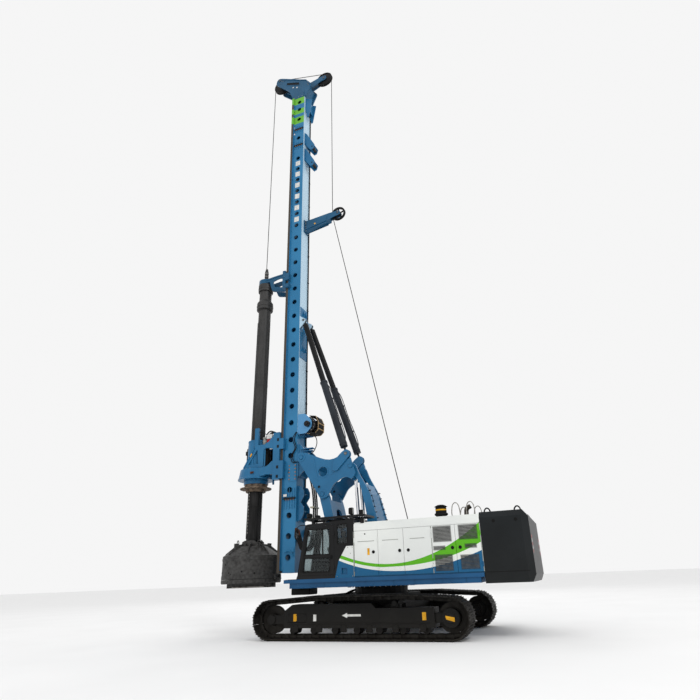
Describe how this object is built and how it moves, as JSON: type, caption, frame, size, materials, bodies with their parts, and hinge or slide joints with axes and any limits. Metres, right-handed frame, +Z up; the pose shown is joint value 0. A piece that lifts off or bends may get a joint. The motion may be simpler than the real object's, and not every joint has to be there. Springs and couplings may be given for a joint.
{
  "type": "rotary piling rig",
  "caption": "Tracked rotary piling rig: slewing upper with cab and hoods, parallel linkage, tall leader mast, rotary drive, kelly bar and drilling bucket.",
  "frame": {"origin": "on the ground under the middle of the whole rig, with the mast upright", "axes": "+X towards the mast and bucket, +Y to the cab side (the left), +Z up"},
  "size_m": [10.25, 4.4, 24.8642],
  "materials": {
    "track_steel": "worn, muddy",
    "undercarriage_paint": "satin black, dusty",
    "deck_blue": "gloss",
    "mast_blue": "gloss",
    "hood_white": "gloss, with green and blue bands",
    "anthracite": "satin",
    "guard_black": "satin",
    "worn_steel": "worn, scraped",
    "slate": "satin",
    "rod_black": "satin",
    "chrome": "polished",
    "cast_steel": "machined, greased",
    "glass": "tinted",
    "seat_fabric": "woven"
  },
  "bodies": {
    "undercarriage": {"carbody": "undercarriage_paint", "track_frame_left": "undercarriage_paint", "track_frame_right": "undercarriage_paint", "track_left": "track_steel", "track_right": "track_steel", "idler_left": "track_steel", "idler_right": "track_steel", "sprocket_left": "track_steel", "sprocket_right": "track_steel"},
    "upper": {"turntable": "deck_blue", "side_panel": "hood_white", "cab_shell": "anthracite", "windscreen": "glass", "operator_seat": "seat_fabric", "roof_guard": "guard_black", "hood_left": "hood_white", "hood_right": "hood_white", "engine_hood": "hood_white", "engine_block": "cast_steel", "counterweight": "anthracite", "fuel_tank": "hood_white"},
    "cab_door": {"cab_door": "anthracite"},
    "hood_door_left_1": {"hood_door_left_1": "hood_white"},
    "hood_door_left_2": {"hood_door_left_2": "hood_white"},
    "hood_door_left_3": {"hood_door_left_3": "hood_white"},
    "hood_door_left_4": {"hood_door_left_4": "hood_white"},
    "hood_door_left_5": {"hood_door_left_5": "hood_white"},
    "hood_door_right_1": {"hood_door_right_1": "hood_white"},
    "hood_door_right_2": {"hood_door_right_2": "hood_white"},
    "hood_door_right_3": {"hood_door_right_3": "hood_white"},
    "hood_door_right_4": {"hood_door_right_4": "hood_white"},
    "main_winch": {"main_winch": "cast_steel"},
    "front_arm": {"front_arm": "deck_blue"},
    "triangle": {"triangle": "deck_blue"},
    "rear_link": {"rear_link": "deck_blue"},
    "luff_barrels": {"luff_barrel_left": "slate", "luff_barrel_right": "slate"},
    "luff_rods": {"luff_rod_left": "chrome", "luff_rod_right": "chrome"},
    "mast": {"mast": "mast_blue", "mast_bracket": "deck_blue", "mast_head": "mast_blue", "guide_arm": "mast_blue", "aux_winch_frame": "mast_blue"},
    "head_sheave": {"head_sheave": "cast_steel"},
    "rear_sheave": {"rear_sheave": "cast_steel"},
    "guide_sheave": {"guide_sheave": "cast_steel"},
    "aux_winch": {"aux_winch": "cast_steel"},
    "stay_barrel_left": {"stay_barrel_left": "slate"},
    "stay_rod_left": {"stay_rod_left": "rod_black"},
    "stay_barrel_right": {"stay_barrel_right": "slate"},
    "stay_rod_right": {"stay_rod_right": "rod_black"},
    "drive": {"drive_carriage": "mast_blue", "drive_gearbox": "mast_blue"},
    "drive_sleeve": {"drive_sleeve": "worn_steel"},
    "kelly_guide": {"kelly_guide": "mast_blue"},
    "kelly": {"kelly": "worn_steel", "bucket": "worn_steel"},
    "bucket_door": {"bucket_door": "worn_steel"}
  },
  "joints": [
    {"name": "slew", "type": "hinge", "parent": "undercarriage", "child": "upper", "pos_m": [-0.455, 0, 1.28], "axis": [0, 0, 1], "continuous": true},
    {"name": "luff", "type": "hinge", "parent": "upper", "child": "front_arm", "pos_m": [0.645, 0, 1.85], "axis": [0, 1, 0], "range_deg": [-15, 5]},
    {"name": "triangle_level", "type": "hinge", "parent": "front_arm", "child": "triangle", "pos_m": [1.225, 0, 4.04], "axis": [0, 1, 0], "range_deg": [-5, 15]},
    {"name": "link_swing", "type": "hinge", "parent": "upper", "child": "rear_link", "pos_m": [-0.365, 0, 2.67], "axis": [0, 1, 0], "range_deg": [-15, 5]},
    {"name": "luff_barrel_swing", "type": "hinge", "parent": "upper", "child": "luff_barrels", "pos_m": [0.045, 0, 1.75], "axis": [0, 1, 0], "range_deg": [-11.95, 3.99]},
    {"name": "luff_rod_stroke", "type": "slide", "parent": "luff_barrels", "child": "luff_rods", "axis": [0.0581, 0, 0.9983], "range_m": [-0.0355, 0.1054]},
    {"name": "mast_tilt", "type": "hinge", "parent": "triangle", "child": "mast", "pos_m": [2.015, 0, 5.32], "axis": [0, 1, 0], "range_deg": [-15, 5]},
    {"name": "stay_barrel_left_swing", "type": "hinge", "parent": "triangle", "child": "stay_barrel_left", "pos_m": [0.359, 0.6, 5.26], "axis": [-0.0189, 0.9998, 0], "range_deg": [-13.8, 4.61]},
    {"name": "stay_rod_left_stroke", "type": "slide", "parent": "stay_barrel_left", "child": "stay_rod_left", "axis": [0.3158, -0.0575, 0.9471], "range_m": [-0.4155, 0.1388]},
    {"name": "stay_barrel_right_swing", "type": "hinge", "parent": "triangle", "child": "stay_barrel_right", "pos_m": [0.359, -0.6, 5.26], "axis": [0.0189, 0.9998, 0], "range_deg": [-13.8, 4.61]},
    {"name": "stay_rod_right_stroke", "type": "slide", "parent": "stay_barrel_right", "child": "stay_rod_right", "axis": [0.3158, 0.0575, 0.9471], "range_m": [-0.4155, 0.1388]},
    {"name": "drive_slide", "type": "slide", "parent": "mast", "child": "drive", "axis": [0, 0, 1], "range_m": [-1.5, 4]},
    {"name": "drive_spin", "type": "hinge", "parent": "drive", "child": "drive_sleeve", "pos_m": [4.145, 0, 4.55], "axis": [0, 0, 1], "continuous": true},
    {"name": "guide_slide", "type": "slide", "parent": "mast", "child": "kelly_guide", "axis": [0, 0, 1], "range_m": [-1.25, 1.5]},
    {"name": "kelly_spin", "type": "hinge", "parent": "kelly_guide", "child": "kelly", "pos_m": [4.145, 0, 13], "axis": [0, 0, 1], "continuous": true},
    {"name": "bucket_door_swing", "type": "hinge", "parent": "kelly", "child": "bucket_door", "pos_m": [3.14, 0, 1.587], "axis": [0, 1, 0], "range_deg": [0, 45]},
    {"name": "head_sheave_spin", "type": "hinge", "parent": "mast", "child": "head_sheave", "pos_m": [3.725, 0, 24.4], "axis": [0, 1, 0], "continuous": true},
    {"name": "rear_sheave_spin", "type": "hinge", "parent": "mast", "child": "rear_sheave", "pos_m": [1.425, 0, 23.8], "axis": [0, 1, 0], "continuous": true},
    {"name": "guide_sheave_spin", "type": "hinge", "parent": "mast", "child": "guide_sheave", "pos_m": [0.795, 0, 15.56], "axis": [0, 1, 0], "continuous": true},
    {"name": "aux_winch_spin", "type": "hinge", "parent": "mast", "child": "aux_winch", "pos_m": [1.945, 0, 6.55], "axis": [0, 1, 0], "continuous": true},
    {"name": "main_winch_spin", "type": "hinge", "parent": "upper", "child": "main_winch", "pos_m": [-1.905, 0, 2.3], "axis": [0, 1, 0], "continuous": true},
    {"name": "cab_door_swing", "type": "hinge", "parent": "upper", "child": "cab_door", "pos_m": [0.415, 1.513, 2.3], "axis": [0, 0, 1], "range_deg": [0, 90]},
    {"name": "hood_door_left_1_swing", "type": "hinge", "parent": "upper", "child": "hood_door_left_1", "pos_m": [-0.22, 1.513, 2.15], "axis": [0, 0, -1], "range_deg": [0, 90]},
    {"name": "hood_door_left_2_swing", "type": "hinge", "parent": "upper", "child": "hood_door_left_2", "pos_m": [-0.945, 1.513, 2.15], "axis": [0, 0, -1], "range_deg": [0, 90]},
    {"name": "hood_door_left_3_swing", "type": "hinge", "parent": "upper", "child": "hood_door_left_3", "pos_m": [-2.512, 1.513, 2.15], "axis": [0, 0, 1], "range_deg": [0, 90]},
    {"name": "hood_door_left_4_swing", "type": "hinge", "parent": "upper", "child": "hood_door_left_4", "pos_m": [-2.5186, 1.513, 2.15], "axis": [0, 0, -1], "range_deg": [0, 90]},
    {"name": "hood_door_left_5_swing", "type": "hinge", "parent": "upper", "child": "hood_door_left_5", "pos_m": [-3.855, 1.513, 2.15], "axis": [0, 0, 1], "range_deg": [0, 90]},
    {"name": "hood_door_right_1_swing", "type": "hinge", "parent": "upper", "child": "hood_door_right_1", "pos_m": [-0.22, -1.513, 2.15], "axis": [0, 0, 1], "range_deg": [0, 90]},
    {"name": "hood_door_right_2_swing", "type": "hinge", "parent": "upper", "child": "hood_door_right_2", "pos_m": [-2.512, -1.513, 2.15], "axis": [0, 0, -1], "range_deg": [0, 90]},
    {"name": "hood_door_right_3_swing", "type": "hinge", "parent": "upper", "child": "hood_door_right_3", "pos_m": [-2.5186, -1.513, 2.15], "axis": [0, 0, 1], "range_deg": [0, 90]},
    {"name": "hood_door_right_4_swing", "type": "hinge", "parent": "upper", "child": "hood_door_right_4", "pos_m": [-3.855, -1.513, 2.15], "axis": [0, 0, -1], "range_deg": [0, 90]}
  ],
  "couplings": [
    {"joint": "triangle_level", "follows": "luff", "ratio": -1},
    {"joint": "link_swing", "follows": "luff", "ratio": 1},
    {"joint": "luff_barrel_swing", "follows": "luff", "ratio": 0.796},
    {"joint": "luff_rod_stroke", "follows": "luff", "m_per_rad": -0.4006},
    {"joint": "stay_barrel_left_swing", "follows": "mast_tilt", "ratio": 0.9194},
    {"joint": "stay_rod_left_stroke", "follows": "mast_tilt", "m_per_rad": 1.5853},
    {"joint": "stay_barrel_right_swing", "follows": "mast_tilt", "ratio": 0.9194},
    {"joint": "stay_rod_right_stroke", "follows": "mast_tilt", "m_per_rad": 1.5853},
    {"joint": "drive_spin", "follows": "kelly_spin", "ratio": 1}
  ]
}
